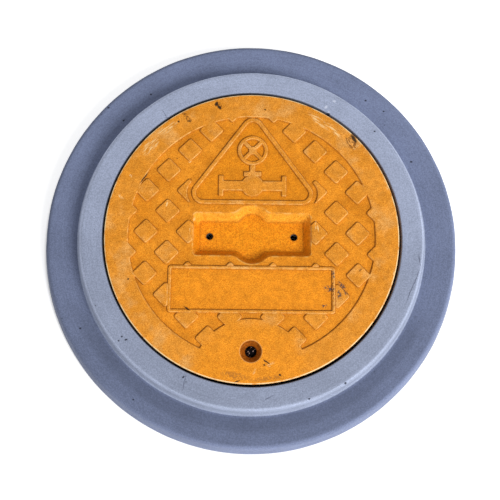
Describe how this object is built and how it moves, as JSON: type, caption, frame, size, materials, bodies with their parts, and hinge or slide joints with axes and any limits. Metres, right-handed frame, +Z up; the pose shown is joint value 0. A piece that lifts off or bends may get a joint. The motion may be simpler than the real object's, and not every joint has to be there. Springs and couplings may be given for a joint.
{
  "type": "manhole cover",
  "caption": "Round orange resin lid with raised tread, a sunken handle recess and a quarter-turn lock, seated in a low grey concrete surround with a raised collar.",
  "frame": {"origin": "centre of the surround's underside", "axes": "+Z up through the lid; +Y from the lock towards the triangle; +X to the right of a reader who stands at the lock"},
  "size_m": [0.732, 0.732, 0.09],
  "materials": {
    "concrete": "trowelled, matt, blue-grey",
    "resin": "moulded, worn, orange-yellow",
    "rubber": "moulded",
    "reinforcing_steel": "mill scale with light rust",
    "zinc_steel": "zinc plated",
    "dark_steel": "blackened, oily",
    "spring_steel": "drawn wire",
    "brass": "turned"
  },
  "bodies": {
    "surround": {"frame_casting": "concrete", "seat_gasket": "rubber", "hoop_flange_low": "reinforcing_steel", "hoop_flange_high": "reinforcing_steel", "hoop_inner": "reinforcing_steel", "hoop_collar": "reinforcing_steel", "stirrups": "reinforcing_steel", "keeper_plate": "zinc_steel", "keeper_screws": "zinc_steel", "keeper_sockets": "brass"},
    "lid": {"lid_shell": "resin", "lid_bars_long": "reinforcing_steel", "lid_bars_cross": "reinforcing_steel", "lid_hoop": "reinforcing_steel", "lift_bushes": "zinc_steel", "lock_sleeve": "brass", "lock_seal": "rubber"},
    "lock": {"lock_bolt": "dark_steel", "spring_washers": "zinc_steel", "lock_spring": "spring_steel", "lock_tongue": "zinc_steel", "lock_nut": "zinc_steel", "lock_split_pin": "zinc_steel"}
  },
  "joints": [
    {"name": "lid_lift", "type": "slide", "parent": "surround", "child": "lid", "axis": [0, 0, 1], "range_m": [0, 0.15]},
    {"name": "lock_turn", "type": "hinge", "parent": "lid", "child": "lock", "pos_m": [0, -0.196, 0.06], "axis": [0, 0, -1], "range_deg": [0, 90]}
  ]
}
